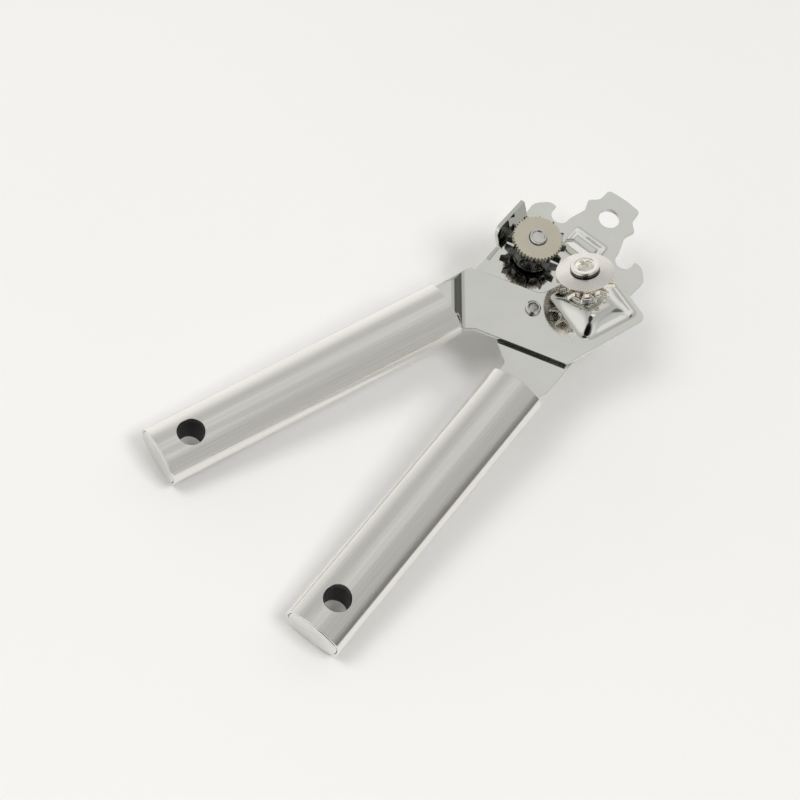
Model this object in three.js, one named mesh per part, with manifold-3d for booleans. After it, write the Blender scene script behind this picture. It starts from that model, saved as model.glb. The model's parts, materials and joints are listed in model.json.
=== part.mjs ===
// Manual can opener with a bottle-opener head, standing on its handle ends and its key.
//
// Everything is drawn in the tool frame: origin near the handle pivot at the top face of
// the lower plate, +Y towards the head, +Z up out of the plates, all in millimetres.
// The last group tilts that frame so that the tool rests on a level floor at z = 0.

import * as THREE from "three";
import { ConvexGeometry } from "three/addons/geometries/ConvexGeometry.js";
import { mergeVertices } from "three/addons/utils/BufferGeometryUtils.js";
import Module from "manifold-3d";

const wasm = await Module();
wasm.setup();

// ---------------------------------------------------------------- driving dimensions

const PLATE = { thickness: 1.5, gap: 0.3 };
const JOGGLE_DROP = PLATE.thickness + PLATE.gap;

// The lower plate is symmetric about HEAD_AXIS_X, apart from its neck and flange.
const HEAD_AXIS_X = -1.35;
const HEAD_HALF_WIDTH = 22.95;
const TIP_HOLE = { y: 46.9, radius: 3.6 };

const OPEN_ANGLE = 19.5; // degrees that the upper arm is opened from parallel handles
const PIVOT = { x: -0.3, y: -0.6 };
const RIVET = { hole: 2.1, shank: 2.0, bore: 1.45, collar: 2.6, collarHeight: 1.2 };

const HANDLE = {
  length: 108.8,
  midZ: -PLATE.thickness / 2,
  creaseHalfWidth: 9.0,
  creaseHeight: 4.2,
  crownHeight: 7.2,
  halfWidth: 10.15,
  wall: 0.8,
  hangHole: 4.5,
  hangHoleFromEnd: 11.6,
  capThickness: 1.4,
};
const LOWER_HANDLE = { x: 12.5, y: -27.6, turn: 1.0 };
const UPPER_HANDLE = { x: -15.2, y: -25.9, turn: 0 }; // in the upper arm's closed frame
const TANG = { length: 66, halfWidth: 6.5, clearance: 0.3 };

const FEED = { x: -13.35, y: 17.7 };
const FEED_WHEEL = { radius: 8.5, toothDepth: 0.55, teeth: 44, z0: 8.35, z1: 10.3 };
const GEAR_TEETH = 12;
const FEED_GEAR = { tip: 10.1, root: 7.1, z0: 4.8, z1: 8.05, phase: 0 };
const SHAFT_RADIUS = 2.9;
const BUSHING = { shank: 4.4, flange: 6.6, top: 3.9 };

// The cutter turns about an axis that leans towards the feed wheel. Heights along that
// axis are counted from the cutter wheel's middle plane, which is at CUTTER.
const CUTTER = { x: 1.2, y: 16.7, z: 14.4, lean: 23.3, radius: 9.7 };
const CUTTER_GEAR = { tip: 9.8, root: 6.8, s0: -5.9, s1: -3.8, phase: 13 };
const SEAT = { s: -10.27, wall: 1.4 };
const SCREW = { radius: 1.95, head: 4.8, headBase: 1.75, headTop: 3.4, tail: -13.8 };

const KEY = { reach: 22, thickness: 2.4, top: -4.6, bottom: -26, waist: -20.5, turn: 4 };

const CLEAR = 0.3; // gap left between pieces that touch

// ---------------------------------------------------------------- materials

const finish = (color, roughness, metalness = 1) =>
  new THREE.MeshStandardMaterial({ color, roughness, metalness });

const CHROME = finish(0xb8b8b0, 0.12);
const BRUSHED = finish(0xc9c6c0, 0.34);
const POLISHED = finish(0xbdbbb5, 0.18);
const NICKEL = finish(0xb8b2a0, 0.3);
const HARDENED = finish(0x4a4846, 0.35);
const STEEL = finish(0x9c9a95, 0.3);
const CORE_PLASTIC = finish(0x3c3b3a, 0.7, 0);

// ---------------------------------------------------------------- solids and outlines

function solidOf(geometry) {
  const bare = geometry.clone();
  bare.deleteAttribute("normal");
  bare.deleteAttribute("uv");
  const merged = mergeVertices(bare, 1e-4);
  return new wasm.Manifold(
    new wasm.Mesh({
      numProp: 3,
      vertProperties: merged.attributes.position.array,
      triVerts: new Uint32Array(merged.index.array),
    }),
  );
}

function geometryOf(solid) {
  const mesh = solid.getMesh();
  const geometry = new THREE.BufferGeometry();
  const position = new THREE.BufferAttribute(mesh.vertProperties, mesh.numProp);
  geometry.setAttribute("position", position);
  geometry.setIndex(new THREE.BufferAttribute(mesh.triVerts, 1));
  geometry.computeVertexNormals();
  return geometry;
}

// The first geometry with the others cut out of it.
function cut(geometry, ...tools) {
  const solid = tools.reduce((rest, tool) => rest.subtract(solidOf(tool)), solidOf(geometry));
  return geometryOf(solid);
}

function join(...geometries) {
  return geometryOf(geometries.map(solidOf).reduce((sum, next) => sum.add(next)));
}

function common(a, b) {
  return geometryOf(solidOf(a).intersect(solidOf(b)));
}

// A closed outline from corners [x, y, radius]; a corner with no radius stays sharp.
function roundedOutline(corners) {
  const outline = new THREE.Shape();
  corners.forEach(([x, y, radius = 0], i) => {
    const corner = new THREE.Vector2(x, y);
    const before = new THREE.Vector2(...corners.at(i - 1)).sub(corner).normalize();
    const after = new THREE.Vector2(...corners[(i + 1) % corners.length]).sub(corner).normalize();
    const halfAngle = Math.acos(before.dot(after)) / 2;
    const inset = radius / Math.tan(halfAngle);
    const start = before.clone().multiplyScalar(inset).add(corner);
    if (i === 0) outline.moveTo(start.x, start.y);
    else outline.lineTo(start.x, start.y);
    if (!radius) return;
    const toCentre = before.clone().add(after).setLength(radius / Math.sin(halfAngle));
    const centre = toCentre.add(corner);
    const end = after.clone().multiplyScalar(inset).add(corner);
    const angleOf = (p) => Math.atan2(p.y - centre.y, p.x - centre.x);
    outline.absarc(centre.x, centre.y, radius, angleOf(start), angleOf(end), before.cross(after) > 0);
  });
  outline.closePath();
  return outline;
}

// An outline in X and Y, made solid from z0 to z1.
function slab(outline, z0, z1, curveSegments = 3) {
  const options = { depth: z1 - z0, bevelEnabled: false, curveSegments };
  return new THREE.ExtrudeGeometry(outline, options).translate(0, 0, z0);
}

function round(radius, z0, z1, sides = 32) {
  const geometry = new THREE.CylinderGeometry(radius, radius, z1 - z0, sides);
  return geometry.rotateX(Math.PI / 2).translate(0, 0, (z0 + z1) / 2);
}

function box(x0, x1, y0, y1, z0, z1) {
  const geometry = new THREE.BoxGeometry(x1 - x0, y1 - y0, z1 - z0);
  return geometry.translate((x0 + x1) / 2, (y0 + y1) / 2, (z0 + z1) / 2);
}

// A solid of revolution about Z from a closed profile of [radius, z] points.
function turned(profile, sides = 40) {
  const points = [...profile, profile[0]].map(([r, z]) => new THREE.Vector2(r, z));
  return new THREE.LatheGeometry(points, sides).rotateX(Math.PI / 2);
}

function ring(inner, outer, z0, z1, sides = 40) {
  return turned([[inner, z0], [outer, z0], [outer, z1], [inner, z1]], sides);
}

function toothedOutline({ teeth, tip, root, tipShare, rootShare }) {
  const outline = new THREE.Shape();
  const pitch = (2 * Math.PI) / teeth;
  for (let tooth = 0; tooth < teeth; tooth += 1) {
    const middle = tooth * pitch;
    const corners = [
      [root, -rootShare / 2],
      [tip, -tipShare / 2],
      [tip, tipShare / 2],
      [root, rootShare / 2],
    ];
    for (const [radius, share] of corners) {
      const angle = middle + share * pitch;
      const point = [radius * Math.cos(angle), radius * Math.sin(angle)];
      if (tooth === 0 && share === -rootShare / 2) outline.moveTo(...point);
      else outline.lineTo(...point);
    }
  }
  outline.closePath();
  return outline;
}

function piece(name, geometry, material) {
  const mesh = new THREE.Mesh(geometry, material);
  mesh.name = name;
  return mesh;
}

function assembly(...children) {
  return new THREE.Group().add(...children);
}

const radians = THREE.MathUtils.degToRad;

// ---------------------------------------------------------------- lower plate

// Corners of the head's right half, from the tip down to the straight side.
const HEAD_RIGHT = [
  [6.6, 56.5, 1.6],
  [6.9, 51.2, 2.2],
  [9.9, 48.3, 1.2],
  [8.4, 44.2, 2.5],
  [10.5, 37.6, 4],
  [10.5, 33.5, 3.0],
  [16.7, 33.5, 3.0],
  [16.5, 38.75, 0.9],
  [19.4, 38.6, 3],
  [23.5, 34.4, 4.5],
  [HEAD_HALF_WIDTH, 27.6, 3],
];

function lowerPlateOutline() {
  const right = HEAD_RIGHT.map(([u, y, r]) => [HEAD_AXIS_X + u, y, r]);
  const left = HEAD_RIGHT.map(([u, y, r]) => [HEAD_AXIS_X - u, y, r]).reverse();
  const tangLeft = LOWER_HANDLE.x - TANG.halfWidth;
  const tangRight = LOWER_HANDLE.x + TANG.halfWidth;
  const neck = [
    [21.4, -22.5, 2],
    [20.2, -25.5, 1],
    [20.1, -31, 2],
    [tangRight, -33, 1],
    [tangRight + 1, LOWER_HANDLE.y - TANG.length, 3],
    [tangLeft + 1, LOWER_HANDLE.y - TANG.length, 3],
    [tangLeft, -33, 1],
    [4.5, -31, 2],
    [4.3, -22.2, 3.5],
    [-3.2, -17.3, 6],
    [HEAD_AXIS_X - HEAD_HALF_WIDTH, -3.5, 5],
  ];
  return roundedOutline([[HEAD_AXIS_X, 57], ...right, ...neck, ...left]);
}

const FLANGE = { lean: 10, height: 11.2, y0: 11.9, y1: 28.0 };

// The side wall that stands on the plate's left edge and leans outwards.
function flange() {
  const { y0, y1, height, lean } = FLANGE;
  const outline = roundedOutline([
    [y0 + 0.4, -PLATE.thickness],
    [y1, -PLATE.thickness],
    [y1, 1],
    [y1 - 2.2, height - 0.3],
    [y0 - 0.4, height, 2.5],
    [y0 - 1.6, height - 3, 1.5],
    [y0 + 0.2, 0.5],
  ]);
  const wall = slab(outline, 0, PLATE.thickness).rotateX(Math.PI / 2).rotateZ(Math.PI / 2);
  wall.rotateY(radians(-lean));
  const edge = HEAD_AXIS_X - HEAD_HALF_WIDTH;
  return wall.translate(edge - 0.15, 0, 0);
}

const LOUVRE = { x0: -7.6, x1: 4.9, near: 30.2, far: 36.6, flatTo: 32.6, rise: 2.5, leg: 1.7 };
const SCOOP = { near: 26.2, depth: 2.0, leg: 1.5 };

// The louvre behind the window: a flat top that slopes down at both ends and at the far
// side. It reaches out to the given near side, where it stays open.
function louvreHull(inset, near, footZ) {
  const { x0, x1, far, flatTo, rise, leg } = LOUVRE;
  const level = (left, right, end, z) => [
    new THREE.Vector3(left, near, z),
    new THREE.Vector3(right, near, z),
    new THREE.Vector3(left, end, z),
    new THREE.Vector3(right, end, z),
  ];
  const side = leg + 0.5 * inset;
  return new ConvexGeometry([
    ...level(x0 + inset, x1 - inset, far - inset, footZ),
    ...level(x0 + inset, x1 - inset, far - inset, -inset),
    ...level(x0 + side, x1 - side, flatTo - 0.4 * inset, rise - inset),
  ]);
}

// The scoop pressed down in front of the louvre, deepest where it runs in under it.
function scoopHull(inset, end, topZ) {
  const { x0, x1 } = LOUVRE;
  const { near, depth, leg } = SCOOP;
  const along = (side, y, z) => [
    new THREE.Vector3(x0 + side, y, z),
    new THREE.Vector3(x1 - side, y, z),
  ];
  const below = -depth - PLATE.thickness + inset;
  return new ConvexGeometry([
    ...along(inset, near + inset, topZ),
    ...along(inset, end, topZ),
    ...along(leg + 0.5 * inset, end, below),
  ]);
}

function lowerPlate() {
  const below = -PLATE.thickness;
  const blank = slab(lowerPlateOutline(), below, 0, 4);
  const tipHole = round(TIP_HOLE.radius, below - 1, 1, 28).translate(HEAD_AXIS_X, TIP_HOLE.y, 0);
  const pivotHole = round(RIVET.shank + 0.15, below - 1, 1, 32).translate(PIVOT.x, PIVOT.y, 0);
  const bushingHole = round(BUSHING.shank + 0.15, below - 1, 1, 32).translate(FEED.x, FEED.y, 0);
  const louvre = louvreHull(0, LOUVRE.near, -0.3);
  const hollow = louvreHull(1.3, LOUVRE.near - 0.4, below - 0.2);
  const scoop = scoopHull(0, LOUVRE.near - 0.4, -0.3);
  const dip = scoopHull(1.4, LOUVRE.near + 0.2, 0.2);
  const formed = join(blank, louvre, scoop, flange());
  return cut(formed, tipHole, pivotHole, bushingHole, hollow, dip);
}

// ---------------------------------------------------------------- upper plate

// Outline in the upper arm's closed frame, where its sides are parallel to Y.
function upperPlateOutline() {
  const { x, y } = UPPER_HANDLE;
  return roundedOutline([
    [-3.5, 25.5, 3],
    [1.0, 31.2, 2],
    [21.6, 31.2, 2.8],
    [22.4, -2.7, 0.5],
    [-3.6, -22.0, 2],
    [-5.3, -25.0, 0.8],
    [-7.4, -25.6, 0.5],
    [-7.4, -29, 2],
    [x + TANG.halfWidth, -31, 1],
    [x + TANG.halfWidth, y - TANG.length, 3],
    [x - TANG.halfWidth, y - TANG.length, 3],
    [x - TANG.halfWidth, -31, 1],
    [-23.0, -29, 2],
    [-23.0, -25.6, 0.5],
    [-24.0, -24.0, 0.8],
    [-24.0, -10.2, 4],
    [-3.5, 5.3, 4],
  ]);
}

const JOGGLE = { x: -14.9, y: -20.9, slant: -33, run: 3.2 };

// The plate seen from its side, stepping down to the tang, as a solid wide enough to
// cover the whole outline. The step runs slantwise across the plate.
function joggledBlank() {
  const { x, y, slant, run } = JOGGLE;
  const top = PLATE.gap + PLATE.thickness;
  const profile = roundedOutline([
    [90, PLATE.gap],
    [90, top],
    [run / 2, top, 1.2],
    [-run / 2, top - JOGGLE_DROP, 1.2],
    [-110, top - JOGGLE_DROP],
    [-110, PLATE.gap - JOGGLE_DROP],
    [-run / 2, PLATE.gap - JOGGLE_DROP, 1.2],
    [run / 2, PLATE.gap, 1.2],
  ]);
  const blank = slab(profile, -90, 90).rotateX(Math.PI / 2).rotateZ(Math.PI / 2);
  return blank.rotateZ(radians(slant)).translate(x, y, 0);
}

// The drawn boss is a wedge. Its seat rises from the low left side to the crest, square
// to the cutter's axis, and a short roof falls from the crest to the right side.
const BOSS = {
  foot: { left: -1.2, right: 18.5, near: 7.5, far: 28.5, corner: 2.4 },
  low: { x: -0.89, near: 7.88, far: 27.97, height: 0.52 },
  crest: { x: 11.9, near: 11.9, far: 22.35, height: 6.03 },
  roof: { x: 16.18, near: 10.76, far: 23.94, height: 4.47 },
};

// The hull from the boss's foot on the plate up to its seat and roof.
function bossHull(inset, footZ) {
  const top = PLATE.gap + PLATE.thickness;
  const { left, right, near, far, corner: r } = BOSS.foot;
  const drop = inset / Math.cos(radians(CUTTER.lean));
  const edges = [BOSS.low, BOSS.crest, BOSS.roof].flatMap((edge) => {
    const x = edge === BOSS.roof ? edge.x - 0.6 * inset : edge.x;
    const z = top + edge.height - drop;
    return [
      new THREE.Vector3(x, edge.near + 0.6 * inset, z),
      new THREE.Vector3(x, edge.far - 0.6 * inset, z),
    ];
  });
  const corners = [
    [left + r, near + r, 180],
    [right - r, near + r, 270],
    [right - r, far - r, 0],
    [left + r, far - r, 90],
  ];
  const foot = corners.flatMap(([x, y, from]) => cornerArc(x, y, r - inset, from, footZ));
  return new ConvexGeometry([...edges, ...foot]);
}

// A quarter of a circle as points at one height.
function cornerArc(x, y, radius, from, z) {
  return [0, 30, 60, 90].map((step) => {
    const angle = radians(from + step);
    return new THREE.Vector3(x + radius * Math.cos(angle), y + radius * Math.sin(angle), z);
  });
}

function upperPlate() {
  const top = PLATE.gap + PLATE.thickness;
  const plate = common(slab(upperPlateOutline(), -5, 5, 4), joggledBlank());
  const raised = join(plate, bossHull(0, PLATE.gap + 0.2));
  const pivotHole = round(RIVET.hole, -1, top + 1, 32).translate(PIVOT.x, PIVOT.y, 0);
  const screwHole = round(SCREW.radius + 0.15, -20, 20, 24);
  screwHole.rotateY(radians(-CUTTER.lean)).translate(CUTTER.x, CUTTER.y, CUTTER.z);
  return cut(raised, bossHull(SEAT.wall, PLATE.gap - 0.5), pivotHole, screwHole);
}

// ---------------------------------------------------------------- handles

// Handle pieces are drawn with their open end at y = 0 and their length along -Y.
function handleOutline(inset) {
  const w = HANDLE.creaseHalfWidth - inset;
  const h = HANDLE.creaseHeight - 0.8 * inset;
  const crown = 2 * (HANDLE.crownHeight - inset) - h;
  const bulge = 2 * (HANDLE.halfWidth - inset) - w;
  const outline = new THREE.Shape();
  outline.moveTo(-w, h);
  outline.quadraticCurveTo(-bulge, 0, -w, -h);
  outline.quadraticCurveTo(0, -crown, w, -h);
  outline.quadraticCurveTo(bulge, 0, w, h);
  outline.quadraticCurveTo(0, crown, -w, h);
  return outline;
}

function handleBar(inset, from, to) {
  return slab(handleOutline(inset), from, to, 8).rotateX(Math.PI / 2);
}

function hangHole(radius) {
  const reach = HANDLE.crownHeight + 2;
  return round(radius, -reach, reach, 32).translate(0, HANDLE.hangHoleFromEnd - HANDLE.length, 0);
}

function handleShell() {
  const { length, wall, hangHole: radius } = HANDLE;
  return cut(handleBar(0, 0, length), handleBar(wall, -1, length + 1), hangHole(radius));
}

// The moulded filler that grips the tang and is bored for the hang hole.
function handleCore() {
  const { length, wall, capThickness } = HANDLE;
  const bar = handleBar(wall + CLEAR, 0.8, length - capThickness - 2 * CLEAR);
  const halfSlot = PLATE.thickness / 2 + TANG.clearance;
  const halfMouth = HANDLE.creaseHalfWidth;
  const throat = box(-halfMouth, halfMouth, -7, 1, -halfSlot, halfSlot);
  const halfWidth = TANG.halfWidth + 1.6;
  const slot = box(-halfWidth, halfWidth, -TANG.length - 1, 1, -halfSlot, halfSlot);
  return cut(bar, throat, slot, hangHole(HANDLE.hangHole - 0.35));
}

function endCap() {
  const { length, wall, capThickness } = HANDLE;
  return handleBar(wall + 0.15, length - capThickness, length + 0.2);
}

function handle(side) {
  return assembly(
    piece(side + "_handle_shell", handleShell(), BRUSHED),
    piece(side + "_handle_core", handleCore(), CORE_PLASTIC),
    piece(side + "_end_cap", endCap(), POLISHED),
  );
}

// ---------------------------------------------------------------- pivot

function pivotRivet() {
  const top = PLATE.gap + PLATE.thickness + 0.1;
  const below = -PLATE.thickness - 0.15;
  const { bore, shank, collar, collarHeight } = RIVET;
  return turned([
    [bore, below - 0.8],
    [collar + 0.4, below - 0.8],
    [collar + 0.4, below],
    [shank, below],
    [shank, top],
    [collar, top],
    [collar, top + 0.6 * collarHeight],
    [collar - 0.5, top + collarHeight],
    [bore + 0.3, top + collarHeight],
    [bore, top + 0.6 * collarHeight],
  ]).translate(PIVOT.x, PIVOT.y, 0);
}

// ---------------------------------------------------------------- feed drive

function feedWheel() {
  const { radius, toothDepth, teeth, z0, z1 } = FEED_WHEEL;
  const shape = { teeth, tip: radius, root: radius - toothDepth, tipShare: 0.2, rootShare: 0.8 };
  return cut(slab(toothedOutline(shape), z0, z1), round(SHAFT_RADIUS + 0.15, z0 - 1, z1 + 1));
}

function feedGear() {
  const { tip, root, z0, z1, phase } = FEED_GEAR;
  const shape = { teeth: GEAR_TEETH, tip, root, tipShare: 0.1, rootShare: 0.5 };
  const teeth = slab(toothedOutline(shape), z0, z1).rotateZ(radians(phase));
  return cut(teeth, round(SHAFT_RADIUS + 0.15, z0 - 1, z1 + 1));
}

function feedShaft() {
  const head = FEED_WHEEL.z1;
  const tail = KEY.top - 6.5;
  return turned([
    [0, tail],
    [SHAFT_RADIUS - 0.4, tail],
    [SHAFT_RADIUS, tail + 0.4],
    [SHAFT_RADIUS, head + 0.5],
    [SHAFT_RADIUS - 0.6, head + 1],
    [0, head + 1],
  ]);
}

function feedBushing() {
  const inner = SHAFT_RADIUS + 0.1;
  const { shank, flange: outer, top } = BUSHING;
  const bottom = -PLATE.thickness - 0.3;
  return turned([
    [inner, bottom],
    [shank, bottom],
    [shank, CLEAR],
    [outer, CLEAR],
    [outer, CLEAR + 1],
    [outer - 1.2, top],
    [inner, top],
  ]);
}

const FRICTION_WASHER = { inner: 3.2, outer: 6.4, z0: -3.0, z1: -2.1 };
const KEY_PIN = { radius: 1.0, z: KEY.top - 3.6 };
const KEY_HUB = 5.2;

// The butterfly key: two wings in one upright plane on a round hub.
function crankKey() {
  const { reach, thickness, top, bottom, waist } = KEY;
  const wing = [
    [KEY_HUB - 0.6, top],
    [6, top - 7, 3],
    [reach, top - 1.5, 7],
    [reach, bottom, 7.5],
    [8.5, bottom, 4],
  ];
  const otherWing = wing.map(([x, z, r]) => [-x, z, r]).reverse();
  const outline = roundedOutline([...wing, [0, waist, 5], ...otherWing]);
  const wings = slab(outline, -thickness / 2, thickness / 2, 4).rotateX(Math.PI / 2).rotateZ(Math.PI / 2);
  const hub = round(KEY_HUB, top - 8, top + 1.3);
  const shaftHole = round(SHAFT_RADIUS + 0.15, top - 7, top + 3);
  const pinHole = round(KEY_PIN.radius + 0.12, -10, 10, 20).rotateY(Math.PI / 2);
  pinHole.translate(0, 0, KEY_PIN.z);
  return cut(join(wings, hub), shaftHole, pinHole);
}

function crankPin() {
  return round(KEY_PIN.radius, 3.2, KEY_HUB + 0.3, 20)
    .rotateY(Math.PI / 2)
    .translate(0, 0, KEY_PIN.z);
}

// ---------------------------------------------------------------- cutter

function cutterWheel() {
  const inner = SCREW.radius + 1.15;
  return turned(
    [
      [inner, -0.75],
      [CUTTER.radius - 1.4, -0.75],
      [CUTTER.radius, -0.25],
      [CUTTER.radius, -0.1],
      [5.2, 0.75],
      [inner, 0.75],
    ],
    56,
  );
}

// The lobed gear with the neck that lifts the cutter wheel off it.
function cutterGear() {
  const { tip, root, s0, s1, phase } = CUTTER_GEAR;
  const shape = { teeth: GEAR_TEETH, tip, root, tipShare: 0.1, rootShare: 0.5 };
  const teeth = slab(toothedOutline(shape), s0, s1).rotateZ(radians(phase));
  const inner = SCREW.radius + 1.15;
  const neck = ring(inner, 4.6, s1 - 0.5, -1.05, 32);
  return join(cut(teeth, round(inner, s0 - 1, s1 + 1, 32)), neck);
}

// The sleeve that the cutter and its gear turn on.
function cutterSleeve() {
  return ring(SCREW.radius + 0.1, SCREW.radius + 1.05, CUTTER_GEAR.s0 - 0.25, 0.95, 32);
}

function cutterCollar() {
  return ring(SCREW.radius + 0.1, 4.9, 1.05, SCREW.headBase - 0.1, 32);
}

function cutterScrew() {
  const { radius, head, headBase, headTop, tail } = SCREW;
  const body = turned(
    [
      [0, tail],
      [radius - 0.4, tail],
      [radius, tail + 0.4],
      [radius, headBase],
      [head, headBase],
      [head, headTop - 0.8],
      [head - 0.4, headTop - 0.5],
      [head - 1.4, headTop - 0.5],
      [head - 2.4, headTop - 0.1],
      [0, headTop],
    ],
    32,
  );
  const slot = { half: 0.45, reach: 2.1, floor: headTop - 1.3 };
  const alongX = box(-slot.reach, slot.reach, -slot.half, slot.half, slot.floor, headTop + 1);
  const alongY = box(-slot.half, slot.half, -slot.reach, slot.reach, slot.floor, headTop + 1);
  return cut(body, alongX, alongY);
}

// The spacer that stands on the boss and carries the gear on its flange.
const SEAT_SPACER = { foot: 4.9, waist: 4.3, flange: 6.6, flangeThickness: 0.7 };

function seatWasher() {
  const inner = SCREW.radius + 0.1;
  const { foot, waist, flange: outer, flangeThickness } = SEAT_SPACER;
  const top = CUTTER_GEAR.s0 - 0.33;
  return turned([
    [inner, SEAT.s + 0.08],
    [foot, SEAT.s + 0.08],
    [foot, SEAT.s + 0.8],
    [waist, SEAT.s + 1.1],
    [waist, top - flangeThickness],
    [outer, top - flangeThickness],
    [outer, top],
    [inner, top],
  ], 36);
}

const LOCK_WASHER = { outer: 3.4, s1: SEAT.s - SEAT.wall - 0.15, thickness: 0.5 };
const NUT = { radius: 3.2, thickness: 1.2 };

function lockWasher() {
  const { outer, s1, thickness } = LOCK_WASHER;
  return ring(SCREW.radius + 0.1, outer, s1 - thickness, s1, 28);
}

function cutterNut() {
  const { radius, thickness } = NUT;
  const hexagon = new THREE.CylinderGeometry(radius, radius, thickness, 6).rotateX(Math.PI / 2);
  hexagon.translate(0, 0, LOCK_WASHER.s1 - LOCK_WASHER.thickness - 0.1 - thickness / 2);
  return cut(hexagon, round(SCREW.radius + 0.1, -20, 0, 24));
}

// ---------------------------------------------------------------- assembly

const lowerHandle = handle("lower");
lowerHandle.position.set(LOWER_HANDLE.x, LOWER_HANDLE.y, HANDLE.midZ);
lowerHandle.rotation.z = radians(LOWER_HANDLE.turn);

const upperHandle = handle("upper");
upperHandle.position.set(UPPER_HANDLE.x, UPPER_HANDLE.y, HANDLE.midZ);
upperHandle.rotation.z = radians(UPPER_HANDLE.turn);

const crank = assembly(piece("crank_key", crankKey(), POLISHED));
const pinAngles = { crank_pin_left: 180, crank_pin_right: 0 };
for (const [name, angle] of Object.entries(pinAngles)) {
  const pin = piece(name, crankPin(), STEEL);
  pin.rotation.z = radians(angle);
  crank.add(pin);
}
crank.rotation.z = radians(KEY.turn);

const feedDrive = assembly(
  piece("feed_wheel", feedWheel(), NICKEL),
  piece("feed_gear", feedGear(), HARDENED),
  piece("feed_shaft", feedShaft(), STEEL),
  crank,
);
const { inner, outer, z0, z1 } = FRICTION_WASHER;
const feedMount = assembly(
  feedDrive,
  piece("feed_bushing", feedBushing(), HARDENED),
  piece("friction_washer", ring(inner, outer, z0, z1), STEEL),
);
feedMount.position.set(FEED.x, FEED.y, 0);

const cutterStack = assembly(
  piece("cutter_wheel", cutterWheel(), NICKEL),
  piece("cutter_gear", cutterGear(), POLISHED),
  piece("cutter_sleeve", cutterSleeve(), STEEL),
  piece("cutter_collar", cutterCollar(), HARDENED),
  piece("cutter_screw", cutterScrew(), NICKEL),
  piece("seat_washer", seatWasher(), STEEL),
  piece("lock_washer", lockWasher(), STEEL),
  piece("cutter_nut", cutterNut(), STEEL),
);
cutterStack.position.set(CUTTER.x, CUTTER.y, CUTTER.z);
cutterStack.rotation.y = radians(-CUTTER.lean);

const lowerArm = assembly(
  piece("lower_plate", lowerPlate(), CHROME),
  piece("pivot_rivet", pivotRivet(), STEEL),
  lowerHandle,
  feedMount,
);
const upperArm = assembly(piece("upper_plate", upperPlate(), CHROME), upperHandle, cutterStack);
// The upper arm is opened about the pivot from its closed frame.
const pivot = new THREE.Vector3(PIVOT.x, PIVOT.y, 0);
upperArm.rotation.z = radians(-OPEN_ANGLE);
upperArm.position.copy(pivot).sub(pivot.clone().applyEuler(upperArm.rotation));

const tool = assembly(lowerArm, upperArm);

// The tool rests on the undersides of its two handle ends and on the key's near wing.
function restingPoint(group, x, y, z) {
  tool.updateMatrixWorld(true);
  return group.localToWorld(new THREE.Vector3(x, y, z));
}

const onLower = restingPoint(lowerHandle, 0, -HANDLE.length, -HANDLE.crownHeight);
const onUpper = restingPoint(upperHandle, 0, -HANDLE.length, -HANDLE.crownHeight);
const onKey = restingPoint(crank, 0, -KEY.reach + 7.5, KEY.bottom);
const floorNormal = onUpper.clone().sub(onLower).cross(onKey.clone().sub(onLower)).normalize();
if (floorNormal.z < 0) floorNormal.negate();
tool.quaternion.setFromUnitVectors(floorNormal, new THREE.Vector3(0, 0, 1));

// The origin is below the middle of the tool, on the floor.
const opener = assembly(tool);
const bounds = new THREE.Box3().setFromObject(opener, true);
const middle = bounds.getCenter(new THREE.Vector3());
tool.position.set(-middle.x, -middle.y, -bounds.min.z);

export default opener;
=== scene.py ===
import json
from math import atan2, ceil, cos, degrees, pi, radians, sin, tan

import bpy
import numpy as np
from mathutils import Matrix, Quaternion, Vector
from mathutils.geometry import delaunay_2d_cdt


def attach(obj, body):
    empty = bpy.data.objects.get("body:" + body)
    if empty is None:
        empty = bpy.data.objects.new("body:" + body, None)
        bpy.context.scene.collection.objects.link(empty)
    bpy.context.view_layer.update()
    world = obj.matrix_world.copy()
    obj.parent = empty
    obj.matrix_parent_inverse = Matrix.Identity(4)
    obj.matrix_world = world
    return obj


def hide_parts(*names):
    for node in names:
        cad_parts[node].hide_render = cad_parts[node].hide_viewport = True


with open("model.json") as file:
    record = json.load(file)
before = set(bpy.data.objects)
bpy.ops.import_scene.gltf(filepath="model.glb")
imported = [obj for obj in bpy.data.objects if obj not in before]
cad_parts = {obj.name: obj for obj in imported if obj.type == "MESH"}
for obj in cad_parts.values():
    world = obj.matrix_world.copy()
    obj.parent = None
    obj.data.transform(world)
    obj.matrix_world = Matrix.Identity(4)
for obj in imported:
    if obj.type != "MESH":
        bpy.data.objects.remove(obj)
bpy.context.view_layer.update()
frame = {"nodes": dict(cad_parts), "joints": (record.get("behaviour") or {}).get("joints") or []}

MM = 0.001

# Every length of the tool is in millimetres; the floor, the lights and the sizes that textures
# are given in are in metres. The tool frame has its origin near the pivot at the lower plate's
# top face, +Y towards the head and +Z up out of the plates.

PIVOT = (-0.3, -0.6)
FEED = (-13.35, 17.7)
OPEN_ANGLE = 19.5
LOWER_HANDLE = (12.5, -27.6)
LOWER_HANDLE_TURN = 1.0
UPPER_HANDLE = (-15.2, -25.9)
KEY_TURN = 4.0
CUTTER = (1.2, 16.7, 14.4)
CUTTER_LEAN = 23.3

SHEET = 1.5
GAP = 0.3
UPPER_TOP = GAP + SHEET
HEAD_X = -1.35
HEAD_HALF = 22.95
HANDLE_LENGTH = 108.8
HANG_HOLE_Y = 11.6 - HANDLE_LENGTH
TANG_LENGTH = 66.0
TANG_HALF = 6.5


# ------------------------------------------------------------------ frames

def turn_about(point, degrees_):
    there = Matrix.Translation(Vector((*point, 0)) * MM)
    return there @ Matrix.Rotation(radians(degrees_), 4, "Z") @ there.inverted()


def shift(x, y, z=0.0):
    return Matrix.Translation(Vector((x, y, z)) * MM)


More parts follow.
